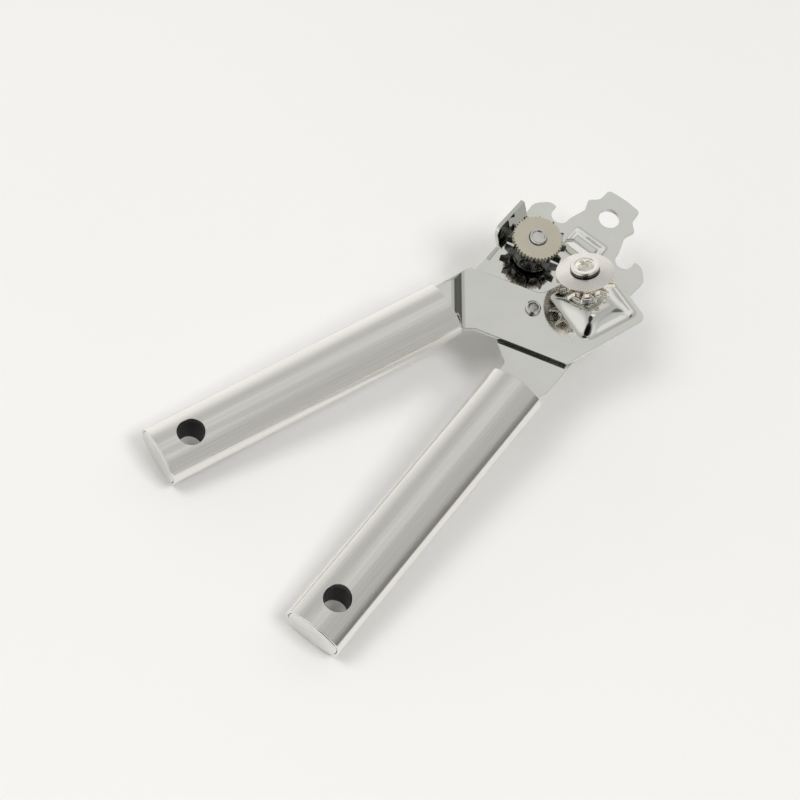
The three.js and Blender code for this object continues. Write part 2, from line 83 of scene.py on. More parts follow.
def tool_frame():
    joints = {joint["name"]: joint for joint in frame["joints"]}
    pivot = Vector(joints["handle_pivot"]["pos_m"])
    z = Vector(joints["handle_pivot"]["axis"]).normalized()
    across = Vector(joints["crank_turn"]["pos_m"]) - pivot
    across -= z * across.dot(z)
    drawn = atan2(FEED[1] - PIVOT[1], FEED[0] - PIVOT[0])
    x = (Quaternion(z, -drawn) @ across).normalized()
    axes = Matrix((x, z.cross(x), z)).transposed()
    origin = pivot - axes @ Vector((*PIVOT, 0)) * MM
    return Matrix.Translation(origin) @ axes.to_4x4()


TOOL = tool_frame()
UPPER = TOOL @ turn_about(PIVOT, -OPEN_ANGLE)
LOWER_GRIP = (
    TOOL @ shift(*LOWER_HANDLE, -SHEET / 2)
    @ Matrix.Rotation(radians(LOWER_HANDLE_TURN), 4, "Z")
)
UPPER_GRIP = UPPER @ shift(*UPPER_HANDLE, -SHEET / 2)
DRIVE = TOOL @ shift(*FEED)
KEY = DRIVE @ Matrix.Rotation(radians(KEY_TURN), 4, "Z")
STACK = UPPER @ shift(*CUTTER) @ Matrix.Rotation(radians(-CUTTER_LEAN), 4, "Y")
PIN = TOOL @ shift(*PIVOT)


# ------------------------------------------------------------------ outlines

def rounded(corners, step=9.0):
    """Points of a closed outline from corners (x, y, radius)."""
    points = []
    count = len(corners)
    for i, corner in enumerate(corners):
        here = np.array(corner[:2], float)
        radius = corner[2] if len(corner) > 2 else 0.0
        if radius <= 0:
            points.append(here)
            continue
        before = np.array(corners[i - 1][:2], float) - here
        after = np.array(corners[(i + 1) % count][:2], float) - here
        before /= np.linalg.norm(before)
        after /= np.linalg.norm(after)
        half = np.arccos(np.clip(before @ after, -1, 1)) / 2
        middle = before + after
        centre = here + middle / np.linalg.norm(middle) * radius / sin(half)
        start = here + before * radius / tan(half) - centre
        a0 = atan2(start[1], start[0])
        side = 1 if before[0] * after[1] - before[1] * after[0] < 0 else -1
        sweep = pi - 2 * half
        steps = max(2, ceil(degrees(sweep) / step))
        for k in range(steps + 1):
            angle = a0 + side * sweep * k / steps
            points.append(centre + radius * np.array((cos(angle), sin(angle))))
    return np.array(points)


def circle(x, y, radius, sides=48):
    angles = np.arange(sides) * 2 * pi / sides
    return np.column_stack([x + radius * np.cos(angles), y + radius * np.sin(angles)])


def area_of(loop):
    nxt = np.roll(loop, -1, axis=0)
    return 0.5 * np.sum(loop[:, 0] * nxt[:, 1] - nxt[:, 0] * loop[:, 1])


def inset(loop, distance):
    """The outline moved to its left, which is into the material."""
    prev = loop - np.roll(loop, 1, axis=0)
    nxt = np.roll(loop, -1, axis=0) - loop
    prev /= np.linalg.norm(prev, axis=1)[:, None]
    nxt /= np.linalg.norm(nxt, axis=1)[:, None]
    n0 = np.column_stack([-prev[:, 1], prev[:, 0]])
    n1 = np.column_stack([-nxt[:, 1], nxt[:, 0]])
    miter = (n0 + n1) / np.maximum(1 + np.sum(n0 * n1, axis=1), 0.25)[:, None]
    return loop + miter * distance


def within(points, loops):
    """Whether each point is inside an odd number of the loops."""
    odd = np.zeros(len(points), bool)
    x, y = points[:, 0][:, None], points[:, 1][:, None]
    for loop in loops:
        nxt = np.roll(loop, -1, axis=0)
        y0, y1 = loop[:, 1][None], nxt[:, 1][None]
        x0, x1 = loop[:, 0][None], nxt[:, 0][None]
        spans = (y0 > y) != (y1 > y)
        rise = np.where(y1 == y0, 1.0, y1 - y0)
        crossing = x0 + (y - y0) / rise * (x1 - x0)
        odd ^= (np.sum(spans & (x < crossing), axis=1) % 2).astype(bool)
    return odd


def clear_of(points, loops, distance):
    """Whether each point is further than distance from every side of the loops."""
    clear = np.ones(len(points), bool)
    for loop in loops:
        side = np.roll(loop, -1, axis=0) - loop
        length2 = np.maximum(np.sum(side * side, axis=1), 1e-12)
        for i in range(0, len(points), 4000):
            away = points[i : i + 4000, None, :] - loop[None]
            t = np.clip(np.sum(away * side[None], axis=2) / length2, 0, 1)
            near = np.linalg.norm(away - t[..., None] * side[None], axis=2).min(axis=1)
            clear[i : i + 4000] &= near > distance
    return clear


# ------------------------------------------------------------------ meshes

def mesh_piece(name, verts, normals, faces, place, body, slot, material, replaced=()):
    """Makes a piece from points in millimetres, each with its own shading normal."""
    verts = np.asarray(verts, float) * MM
    normals = np.asarray(normals, float)
    normals = normals / np.maximum(np.linalg.norm(normals, axis=1), 1e-9)[:, None]
    kept = []
    for face in faces:
        a, b, c = verts[face[0]], verts[face[1]], verts[face[2]]
        lie = np.cross(b - a, c - a)
        if len(face) > 3:
            lie = lie + np.cross(c - a, verts[face[3]] - a)
        want = normals[list(face)].sum(axis=0)
        kept.append(tuple(face) if lie @ want >= 0 else tuple(reversed(face)))
    mesh = bpy.data.meshes.new(name)
    mesh.from_pydata([tuple(v) for v in verts], [], kept)
    mesh.validate(clean_customdata=False)
    mesh.polygons.foreach_set("use_smooth", [True] * len(mesh.polygons))
    mesh.normals_split_custom_set_from_vertices([tuple(n) for n in normals])
    mesh.materials.append(material)
    piece = bpy.data.objects.new(name, mesh)
    bpy.context.scene.collection.objects.link(piece)
    piece.matrix_world = place
    bpy.context.view_layer.update()
    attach(piece, body)
    if replaced:
        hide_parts(*replaced)
    return piece


def flat(z):
    def surface(points):
        count = len(points)
        return np.column_stack([points, np.full(count, z)]), np.tile((0.0, 0.0, 1.0), (count, 1))
    return surface


def raised(height):
    """The surface z = height(x, y), with its normals from small steps."""
    def surface(points):
        x, y = points[:, 0], points[:, 1]
        step = 0.01
        dx = (height(x + step, y) - height(x - step, y)) / (2 * step)
        dy = (height(x, y + step) - height(x, y - step)) / (2 * step)
        normal = np.column_stack([-dx, -dy, np.ones(len(x))])
        normal /= np.linalg.norm(normal, axis=1)[:, None]
        return np.column_stack([x, y, height(x, y)]), normal
    return surface


def grid_points(loops, surface, spacing, everywhere):
    """Points inside the loops, only where the surface curves unless everywhere is set."""
    low = np.min([loop.min(axis=0) for loop in loops], axis=0)
    high = np.max([loop.max(axis=0) for loop in loops], axis=0)
    xs = np.arange(low[0] + spacing[0] / 2, high[0], spacing[0])
    ys = np.arange(low[1] + spacing[1] / 2, high[1], spacing[1])
    points = np.array([(x + (j % 2) * spacing[0] / 2, y) for j, y in enumerate(ys) for x in xs])
    if not everywhere:
        here = surface(points)[1]
        turning = np.zeros(len(points), bool)
        for dx, dy in ((1, 0), (-1, 0), (0, 1), (0, -1)):
            there = surface(points + np.array((dx * spacing[0], dy * spacing[1])))[1]
            turning |= np.sum(here * there, axis=1) < cos(radians(0.6))
        points = points[turning]
    if not len(points):
        return points
    points = points[within(points, loops)]
    return points[clear_of(points, loops, min(spacing) * 0.45)]


def sheet_mesh(
    loops, surface, thickness=None, floor=None, edge=0.2, spacing=None, everywhere=False, turns=3
):
    """Points, normals and faces of a sheet whose top is the surface inside the loops.

    The first loop is the outside. The sheet is thickness deep along its normals, or goes
    straight down to the floor height. Its edges are rounded by the edge radius, in turns steps.
    """
    loops = [
        loop if (area_of(loop) > 0) == (i == 0) else loop[::-1] for i, loop in enumerate(loops)
    ]
    inner = [inset(loop, edge) for loop in loops]
    flat_points = np.vstack(inner)
    edges = []
    start = 0
    for loop in inner:
        count = len(loop)
        edges += [(start + k, start + (k + 1) % count) for k in range(count)]
        start += count
    if spacing:
        extra = grid_points(inner, surface, spacing, everywhere)
        if len(extra):
            flat_points = np.vstack([flat_points, extra])
    out = delaunay_2d_cdt([Vector(p) for p in flat_points], edges, [], 0, 1e-5)
    plan = np.array([tuple(v) for v in out[0]])
    place_of = {}
    for index, origins in enumerate(out[3]):
        for origin in origins:
            place_of[origin] = index
    triangles = [tuple(face) for face in out[2]]
    middles = np.array([plan[list(face)].mean(axis=0) for face in triangles])
    keep = within(middles, inner)
    triangles = [face for face, inside in zip(triangles, keep) if inside]

    top, up = surface(plan)
    count = len(plan)
    if floor is None:
        under, down = top - thickness * up, -up
    else:
        under = np.column_stack([plan, np.full(count, floor)])
        down = np.tile((0.0, 0.0, -1.0), (count, 1))
    verts, normals = [top, under], [up, down]
    faces = triangles + [tuple(reversed([v + count for v in face])) for face in triangles]
    total = 2 * count
    start = 0
    for loop, core in zip(loops, inner):
        n = len(loop)
        index = np.array([place_of[start + k] for k in range(n)])
        start += n
        rim_top, rim_up = surface(loop)
        core_top, _ = surface(core)
        out_dir = rim_top - core_top
        out_dir -= np.sum(out_dir * rim_up, axis=1)[:, None] * rim_up
        out_dir /= np.maximum(np.linalg.norm(out_dir, axis=1), 1e-9)[:, None]
        rings = [index]
        for k in range(1, turns + 1):
            angle = pi / 2 * k / turns
            plan_k = inset(loop, edge * (1 - sin(angle)))
            on, on_up = surface(plan_k)
            verts.append(on - on_up * edge * (1 - cos(angle)))
            normals.append(cos(angle) * on_up + sin(angle) * out_dir)
            rings.append(np.arange(total, total + n))
            total += n
        for k in range(turns, 0, -1):
            angle = pi / 2 * k / turns
            plan_k = inset(loop, edge * (1 - sin(angle)))
            on, on_up = surface(plan_k)
            rise = edge * (1 - cos(angle))
            if floor is None:
                verts.append(on - on_up * (thickness - rise))
                normals.append(-cos(angle) * on_up + sin(angle) * out_dir)
            else:
                verts.append(np.column_stack([plan_k, np.full(n, floor + rise)]))
                normals.append(np.array((0.0, 0.0, -cos(angle))) + sin(angle) * out_dir)
            rings.append(np.arange(total, total + n))
            total += n
        rings.append(index + count)
        for a, b in zip(rings, rings[1:]):
            for k in range(n):
                m = (k + 1) % n
                faces.append((a[k], a[m], b[m], b[k]))
    return np.vstack(verts), np.vstack(normals), faces


def turned_mesh(corners, sides=64, step=15.0):
    """Points, normals and faces of a solid of revolution from corners (radius, z, rounding)."""
    corners = [c if len(c) > 2 else (*c, 0.06) for c in corners]
    plain = np.array([c[:2] for c in corners], float)
    if area_of(plain) < 0:
        corners = corners[::-1]
    rows = []
    count = len(corners)
    for i, (r, z, rounding) in enumerate(corners):
        here = np.array((r, z), float)
        before = np.array(corners[i - 1][:2], float) - here
        after = np.array(corners[(i + 1) % count][:2], float) - here
        before /= np.linalg.norm(before)
        after /= np.linalg.norm(after)
        normal_in = np.array((-before[1], before[0]))
        normal_out = np.array((after[1], -after[0]))
        if r <= 1e-6:
            level = normal_out if corners[(i + 1) % count][0] > 1e-6 else normal_in
            rows.append((0.0, z, 0.0, np.sign(level[1])))
            continue
        half = np.arccos(np.clip(before @ after, -1, 1)) / 2
        sweep = pi - 2 * half
        steps = max(1, ceil(degrees(sweep) / step))
        reach = rounding / tan(half)
        a_in = atan2(normal_in[1], normal_in[0])
        crossed = normal_in[0] * normal_out[1] - normal_in[1] * normal_out[0]
        turn = atan2(crossed, normal_in @ normal_out)
        start = here + before * reach
        centre = start - normal_in * rounding * (1 if turn > 0 else -1)
        for k in range(steps + 1):
            angle = a_in + turn * k / steps
            normal = np.array((cos(angle), sin(angle)))
            at = centre + normal * rounding * (1 if turn > 0 else -1)
            rows.append((at[0], at[1], normal[0], normal[1]))
    verts, normals, ring = [], [], []
    for r, z, nr, nz in rows:
        if r <= 1e-6:
            ring.append([len(verts)] * sides)
            verts.append((0, 0, z))
            normals.append((0, 0, nz))
            continue
        ring.append(list(range(len(verts), len(verts) + sides)))
        for k in range(sides):
            angle = 2 * pi * k / sides
            verts.append((r * cos(angle), r * sin(angle), z))
            normals.append((nr * cos(angle), nr * sin(angle), nz))
    faces = []
    for a, b in zip(ring, ring[1:] + ring[:1]):
        for k in range(sides):
            m = (k + 1) % sides
            corners4 = [a[k], a[m], b[m], b[k]]
            face = [v for j, v in enumerate(corners4) if v != corners4[j - 1]]
            if len(set(face)) > 2:
                faces.append(tuple(face))
    return np.array(verts), np.array(normals), faces


def joined(*meshes):
    verts, normals, faces, start = [], [], [], 0
    for v, n, f in meshes:
        verts.append(v)
        normals.append(n)
        faces += [tuple(i + start for i in face) for face in f]
        start += len(v)
    return np.vstack(verts), np.vstack(normals), faces


# ------------------------------------------------------------------ materials

def links_of(material):
    return material.node_tree.nodes, material.node_tree.links


def new_metal(name, metallic=1.0):
    material = bpy.data.materials.new(name)
    material.use_nodes = True
    shader = material.node_tree.nodes["Principled BSDF"]
    shader.inputs["Metallic"].default_value = metallic
    return material, shader


def coordinates(material, scale, rotation=(0, 0, 0)):
    nodes, links = links_of(material)
    place = nodes.new("ShaderNodeTexCoord")
    mapping = nodes.new("ShaderNodeMapping")
    mapping.inputs["Scale"].default_value = scale
    mapping.inputs["Rotation"].default_value = rotation
    links.new(place.outputs["Object"], mapping.inputs["Vector"])
    return mapping.outputs["Vector"]


def noise(material, vector, scale, detail=4.0, roughness=0.6):
    nodes, links = links_of(material)
    node = nodes.new("ShaderNodeTexNoise")
    node.inputs["Scale"].default_value = scale
    node.inputs["Detail"].default_value = detail
    node.inputs["Roughness"].default_value = roughness
    links.new(vector, node.inputs["Vector"])
    return node.outputs["Fac"]


def ranged(material, value, low, high, start=0.25, end=0.75):
    nodes, links = links_of(material)
    node = nodes.new("ShaderNodeMapRange")
    node.inputs["From Min"].default_value = start
    node.inputs["From Max"].default_value = end
    node.inputs["To Min"].default_value = low
    node.inputs["To Max"].default_value = high
    links.new(value, node.inputs["Value"])
    return node.outputs["Result"]


def tinted(material, value, dark, light, start=0.3, end=0.7):
    nodes, links = links_of(material)
    ramp = nodes.new("ShaderNodeValToRGB")
    ramp.color_ramp.elements[0].position = start
    ramp.color_ramp.elements[0].color = (*dark, 1)
    ramp.color_ramp.elements[1].position = end
    ramp.color_ramp.elements[1].color = (*light, 1)
    links.new(value, ramp.inputs["Fac"])
    return ramp.outputs["Color"]


def bumped(material, shader, heights):
    """Adds bumps from (height, strength, distance in metres), each over the last."""
    nodes, links = links_of(material)
    last = None
    for height, strength, distance in heights:
        bump = nodes.new("ShaderNodeBump")
        bump.inputs["Strength"].default_value = strength
        bump.inputs["Distance"].default_value = distance
        links.new(height, bump.inputs["Height"])
        if last:
            links.new(last, bump.inputs["Normal"])
        last = bump.outputs["Normal"]
    links.new(last, shader.inputs["Normal"])


def mirror_sheet(name, dark, light, rough):
    """Polished sheet: faint cloudiness, fine rolling marks and a few soft smears."""
    material, shader = new_metal(name)
    links = material.node_tree.links
    even = coordinates(material, (1, 1, 1))
    drawn = coordinates(material, (40, 700, 40), (0, 0, radians(12)))
    cloud = noise(material, even, 70, 3)
    links.new(tinted(material, cloud, dark, light), shader.inputs["Base Color"])
    smear = noise(material, even, 130, 5, 0.65)
    links.new(ranged(material, smear, *rough), shader.inputs["Roughness"])
    marks = noise(material, drawn, 1, 3)
    wave = noise(material, even, 35, 1)
    bumped(material, shader, [(wave, 0.12, 0.0006), (marks, 0.05, 0.00002)])
    return material


def brushed_tube(name, dark, light, rough):
    """Satin steel brushed along Y, with soft lengthwise bands."""
    material, shader = new_metal(name)
    nodes, links = links_of(material)
    fine = coordinates(material, (2600, 30, 2600))
    band = coordinates(material, (260, 3, 260))
    even = coordinates(material, (1, 1, 1))
    hair = noise(material, fine, 1, 2)
    bands = noise(material, band, 1, 3)
    cloud = noise(material, even, 60, 4)
    mix = nodes.new("ShaderNodeMix")
    mix.inputs["Factor"].default_value = 0.5
    links.new(hair, mix.inputs["A"])
    links.new(bands, mix.inputs["B"])
    links.new(tinted(material, mix.outputs["Result"], dark, light), shader.inputs["Base Color"])
    add = nodes.new("ShaderNodeMix")
    add.inputs["Factor"].default_value = 0.4
    links.new(bands, add.inputs["A"])
    links.new(cloud, add.inputs["B"])
    links.new(ranged(material, add.outputs["Result"], *rough), shader.inputs["Roughness"])
    speckle = noise(material, even, 1100, 3)
    bumped(material, shader, [
        (bands, 0.10, 0.0001), (hair, 0.12, 0.00003), (speckle, 0.35, 0.00005),
    ])
    return material


def ring_lines(material, scale, distortion=0.0):
    """Fine lines round the piece's own Z axis."""
    nodes, links = links_of(material)
    place = nodes.new("ShaderNodeTexCoord")
    wave = nodes.new("ShaderNodeTexWave")
    wave.wave_type = "RINGS"
    wave.rings_direction = "Z"
    wave.inputs["Scale"].default_value = scale
    wave.inputs["Distortion"].default_value = distortion
    wave.inputs["Detail"].default_value = 2.0
    wave.inputs["Detail Scale"].default_value = 3.0
    links.new(place.outputs["Object"], wave.inputs["Vector"])
    return wave.outputs["Fac"]


def lathed(name, dark, light, rough, lines=900.0, line_bump=0.12):
    """Turned metal with concentric tool marks and a fine grain."""
    material, shader = new_metal(name)
    links = material.node_tree.links
    even = coordinates(material, (1, 1, 1))
    rings = ring_lines(material, lines, 1.5)
    grain = noise(material, even, 2200, 3)
    cloud = noise(material, even, 160, 4)
    links.new(tinted(material, cloud, dark, light), shader.inputs["Base Color"])
    links.new(ranged(material, grain, *rough), shader.inputs["Roughness"])
    bumped(material, shader, [(rings, line_bump, 0.00003), (grain, 0.12, 0.00003)])
    return material


def plain_steel(name, dark, light, rough, metallic=1.0, grain_scale=900.0, grain=0.1):
    """Clouded colour with a fine even grain; also the moulded filler when it is not metal."""
    material, shader = new_metal(name, metallic)
    links = material.node_tree.links
    even = coordinates(material, (1, 1, 1))
    cloud = noise(material, even, 220, 4)
    fine = noise(material, even, grain_scale, 4)
    links.new(tinted(material, cloud, dark, light), shader.inputs["Base Color"])
    links.new(ranged(material, fine, *rough), shader.inputs["Roughness"])
    bumped(material, shader, [(cloud, 0.06, 0.0002), (fine, grain, 0.00004)])
    return material


PLATE_STEEL = mirror_sheet("plate_steel", (0.775, 0.775, 0.738), (0.82, 0.82, 0.78), (0.05, 0.10))
BRUSHED = brushed_tube("handle_steel", (0.81, 0.79, 0.755), (0.92, 0.90, 0.865), (0.17, 0.27))
POLISHED = plain_steel("polished_steel", (0.76, 0.75, 0.735), (0.86, 0.85, 0.83), (0.18, 0.28))
NICKEL = lathed(
    "feed_nickel", (0.70, 0.65, 0.54), (0.76, 0.71, 0.60), (0.26, 0.36), lines=1200, line_bump=0.06
)
CUTTER_STEEL = lathed(
    "cutter_nickel", (0.79, 0.75, 0.715), (0.89, 0.85, 0.815), (0.2, 0.3), lines=900, line_bump=0.3
)
SCREW_NICKEL = plain_steel("screw_nickel", (0.90, 0.87, 0.80), (0.97, 0.945, 0.89), (0.10, 0.18))
GEAR_STEEL = plain_steel("gear_steel", (0.80, 0.75, 0.66), (0.9, 0.86, 0.78), (0.12, 0.2))
# Painted shade: a near-black base colour that makes the feed gear, the feed bushing and the cutter
# collar look as dark as the shade they sit in under the feed wheel and the screw head.
SHADE_PAINTED_STEEL = plain_steel("hardened_steel", (0.10, 0.10, 0.10), (0.17, 0.168, 0.162), (0.14, 0.26))
BRIGHT_STEEL = plain_steel("hardware_steel", (0.66, 0.65, 0.63), (0.78, 0.77, 0.75), (0.16, 0.26))
FILLER = plain_steel(
    "core_plastic", (0.035, 0.035, 0.036), (0.055, 0.055, 0.056), (0.5, 0.62),
    metallic=0.0, grain_scale=1500.0, grain=0.3,
)


# ------------------------------------------------------------------ smooth shapes

def smooth_max(a, b, k):
    """The larger of two heights, with the fold between them rounded over k."""
    h = np.maximum(k - np.abs(a - b), 0) / k
    return np.maximum(a, b) + h * h * k / 4


def smooth_min(a, b, k):
    return -smooth_max(-a, -b, k)


def eased(t):
    t = np.clip(t, 0, 1)
    return t * t * (3 - 2 * t)


# ------------------------------------------------------------------ lower plate

HEAD_RIGHT = [
    (6.6, 56.5, 1.6), (6.9, 51.2, 2.2), (9.9, 48.3, 1.2), (8.4, 44.2, 2.5), (10.5, 37.6, 4),
    (10.5, 33.5, 3.0), (16.7, 33.5, 3.0), (16.5, 38.75, 0.9), (19.4, 38.6, 3), (23.5, 34.4, 4.5),
    (HEAD_HALF, 27.6, 3),
]

FLANGE_BEND_X = -22.45
FLANGE_BEND_RADIUS = 0.6
FLANGE_ANGLE = radians(80)
FLANGE_Y = (11.9, 28.1)
FLANGE_ARC = FLANGE_BEND_RADIUS * FLANGE_ANGLE
RELIEF = 0.02

LOUVRE = {
    "x0": -7.6, "x1": 4.9, "near": 30.2, "far": 36.6, "rise": 2.5, "leg": 1.7, "slope": 0.62,
    "side_fold": 1.0, "brow_fold": 0.3, "top_fold": 0.9, "foot_fold": 0.5,
}
SCOOP = {
    "near": 26.2, "slope": 0.52, "side": 1.3, "floor": 2.0, "inset": 0.2,
    "side_fold": 0.8, "ramp_fold": 1.2, "floor_fold": 0.6, "lip_fold": 0.5,
}
SLIT = 0.3
TIP_HOLE = {"y": 46.9, "radius": 3.6}
PIVOT_BORE = {"lower": 2.15, "upper": 2.1}
BUSHING_BORE = 4.55
PLATE_EDGE = 0.22


def flange_x(height):
    """Where a point of the flange at this height lies on the unbent sheet."""
    start = FLANGE_BEND_RADIUS * (1 - cos(FLANGE_ANGLE))
    return FLANGE_BEND_X - FLANGE_ARC - (height - start) / sin(FLANGE_ANGLE)


def louvre_height(x, y):
    """The lower sheet's height: the louvre beyond the slit, the scoop sinking before it."""
    lip, dish = LOUVRE, SCOOP
    level = np.zeros_like(x)
    left = (x - lip["x0"]) * lip["rise"] / lip["leg"]
    right = (lip["x1"] - x) * lip["rise"] / lip["leg"]
    far = (lip["far"] - y) * lip["slope"]
    across = smooth_min(left, right, lip["side_fold"])
    along = smooth_min(np.full_like(x, lip["rise"]), far, lip["brow_fold"])
    rise = smooth_max(smooth_min(across, along, lip["top_fold"]), level, lip["foot_fold"])
    from_left = x - lip["x0"] - dish["inset"]
    from_right = lip["x1"] - dish["inset"] - x
    sides = smooth_min(from_left, from_right, dish["side_fold"]) * dish["side"]
    ramp = (y - dish["near"]) * dish["slope"]
    dip = smooth_min(sides, ramp, dish["ramp_fold"])
    dip = smooth_min(dip, np.full_like(x, dish["floor"]), dish["floor_fold"])
    dip = smooth_max(dip, level, dish["lip_fold"])
    return np.where(y < lip["near"] - SLIT / 2, -dip, rise)


def lower_surface(points):
    """The lower sheet with its louvre, and the flange bent up beyond FLANGE_BEND_X."""
    x, y = points[:, 0], points[:, 1]
    place, normal = raised(louvre_height)(points)
    hangs_below = (x < HEAD_X - HEAD_HALF - 0.1) & (y < FLANGE_Y[1])
    bent = (x < FLANGE_BEND_X) & ((y > FLANGE_Y[0]) & (y < FLANGE_Y[1]) | hangs_below)
    s = FLANGE_BEND_X - x
    angle = np.clip(s / FLANGE_BEND_RADIUS, 0, FLANGE_ANGLE)
    straight = np.maximum(s - FLANGE_ARC, 0)
    bx = FLANGE_BEND_X - FLANGE_BEND_RADIUS * np.sin(angle) - straight * cos(FLANGE_ANGLE)
    bz = FLANGE_BEND_RADIUS * (1 - np.cos(angle)) + straight * sin(FLANGE_ANGLE)
    place[bent] = np.column_stack([bx, y, bz])[bent]
    normal[bent] = np.column_stack([np.sin(angle), np.zeros_like(x), np.cos(angle)])[bent]
    return place, normal


def lower_outline():
    right = [(HEAD_X + u, y, r) for u, y, r in HEAD_RIGHT]
    left = [(HEAD_X - u, y, r) for u, y, r in HEAD_RIGHT][::-1]
    x, y = LOWER_HANDLE
    edge = HEAD_X - HEAD_HALF
    slit = FLANGE_BEND_X + 0.3
    y0, y1 = FLANGE_Y
    flap = [
        (edge, y0 - RELIEF), (slit, y0 - RELIEF), (slit, y0 + RELIEF),
        (flange_x(0.6), y0 + RELIEF, 0.2), (flange_x(8.2), 10.3, 1.5), (flange_x(11.2), 11.5, 2.5),
        (flange_x(10.9), 25.8, 0.4), (flange_x(1.0), y1 - RELIEF, 0.3),
        (slit, y1 - RELIEF), (slit, y1 + RELIEF), (edge - RELIEF, y1 + RELIEF),
    ]
    neck = [
        (21.4, -22.5, 2), (20.2, -25.5, 1), (20.1, -31, 2), (x + TANG_HALF, -33, 1),
        (x + TANG_HALF + 1, y - TANG_LENGTH, 3), (x - TANG_HALF + 1, y - TANG_LENGTH, 3),
        (x - TANG_HALF, -33, 1), (4.5, -31, 2), (4.3, -22.2, 3.5), (-3.2, -17.3, 6),
        (edge, -3.5, 5),
    ]
    left_rest = [(edge - 0.1, 29.6, 0)] + left[1:]
    return rounded([(HEAD_X, 57, 0)] + right + neck + flap + left_rest)


def build_lower_plate():
    lip = LOUVRE
    along = np.linspace(lip["x0"] - 0.1, lip["x1"] + 0.1, 30)
    slit = [(x, lip["near"] - SLIT) for x in along] + [(x, lip["near"]) for x in along[::-1]]
    loops = [
        lower_outline(), circle(HEAD_X, TIP_HOLE["y"], TIP_HOLE["radius"]),
        circle(*PIVOT, PIVOT_BORE["lower"]), circle(*FEED, BUSHING_BORE), np.array(slit),
    ]
    mesh = sheet_mesh(loops, lower_surface, SHEET, edge=PLATE_EDGE, spacing=(0.55, 0.55))
    mesh_piece(
        "lower_plate_sheet", *mesh, TOOL, "lower_arm", "plate_steel", PLATE_STEEL, ["lower_plate"]
    )


# ------------------------------------------------------------------ upper plate

# The boss's foot lines, how far each wall leans in per unit of height, and its rounded folds.
BOSS = {"left": -1.2, "right": 18.5, "near": 7.5, "far": 28.5}
BOSS_RUN = {"left": 0.6, "right": 0.52, "near": 0.73, "far": 1.02}
BOSS_FOLD = {
    "crest": 2.6, "near_right": 7.0, "far_left": 4.0, "walls": 3.0, "brow": 3.0, "foot": 1.3,
}
SEAT = {"height": 0.9, "slope": tan(radians(CUTTER_LEAN))}
ROOF = {"height": 4.5, "slope": 0.364, "x": 16.1}
JOGGLE = {"x": -14.9, "y": -20.9, "slant": radians(-33), "run": 3.2, "fold": 0.7}


def boss_height(x, y):
    """Height of the drawn boss over the plate: a wedge that rises towards +X."""
    seat = SEAT["height"] + SEAT["slope"] * x
    roof = ROOF["height"] + ROOF["slope"] * (ROOF["x"] - x)
    right = (BOSS["right"] - x) / BOSS_RUN["right"]
    near = (y - BOSS["near"]) / BOSS_RUN["near"]
    far = (BOSS["far"] - y) / BOSS_RUN["far"]
    left = (x - BOSS["left"]) / BOSS_RUN["left"]
    top = smooth_min(seat, roof, BOSS_FOLD["crest"])
    near_right = smooth_min(right, near, BOSS_FOLD["near_right"])
    far_left = smooth_min(far, left, BOSS_FOLD["far_left"])
    walls = smooth_min(near_right, far_left, BOSS_FOLD["walls"])
    rise = smooth_min(top, walls, BOSS_FOLD["brow"])
    return smooth_max(rise, np.zeros_like(x), BOSS_FOLD["foot"])


def joggle_drop(x, y):
    """How far the sheet has dropped towards the handle, by one sheet and the gap."""
    across = -(x - JOGGLE["x"]) * sin(JOGGLE["slant"]) + (y - JOGGLE["y"]) * cos(JOGGLE["slant"])
    drop = SHEET + GAP
    ramp = (across + JOGGLE["run"] / 2) / JOGGLE["run"] * drop
    step = smooth_max(ramp, np.zeros_like(x), JOGGLE["fold"])
    return smooth_min(step, np.full_like(x, drop), JOGGLE["fold"]) - drop


def upper_height(x, y):
    return UPPER_TOP + boss_height(x, y) + joggle_drop(x, y)


def upper_outline():
    x, y = UPPER_HANDLE
    return rounded([
        (-3.5, 25.5, 3), (1.0, 31.2, 2), (21.6, 31.2, 2.8), (22.4, -2.7, 0.5), (-3.6, -22.0, 2),
        (-5.3, -25.0, 0.8), (-7.4, -25.6, 0.5), (-7.4, -29, 2), (x + TANG_HALF, -31, 1),
        (x + TANG_HALF, y - TANG_LENGTH, 3), (x - TANG_HALF, y - TANG_LENGTH, 3),
        (x - TANG_HALF, -31, 1), (-23.0, -29, 2), (-23.0, -25.6, 0.5), (-24.0, -24.0, 0.8),
        (-24.0, -10.2, 4), (-3.5, 5.3, 4),
    ])


def build_upper_plate():
    loops = [upper_outline(), circle(*PIVOT, PIVOT_BORE["upper"])]
    mesh = sheet_mesh(loops, raised(upper_height), SHEET, edge=PLATE_EDGE, spacing=(0.4, 0.4))
    mesh_piece(
        "upper_plate_sheet", *mesh, UPPER, "upper_arm", "plate_steel", PLATE_STEEL, ["upper_plate"]
    )


# ------------------------------------------------------------------ handles

CREASE = (9.0, 4.2)
CROWN = 7.2
HALF_WIDTH = 10.15
CREASE_SOFTNESS = 0.45
SECTION_POINTS = 1200
WALL = 0.8
SEAM = 0.05
HANG_HOLE_RADIUS = 4.5
CAP_GAP = 0.15
CAP_PROUD = 0.2
CAP_THICKNESS = 1.5


def bezier(a, b, c, count):
    t = np.linspace(0, 1, count, endpoint=False)[:, None]
    a, b, c = (np.array(p, float) for p in (a, b, c))
    return (1 - t) ** 2 * a + 2 * t * (1 - t) * b + t * t * c


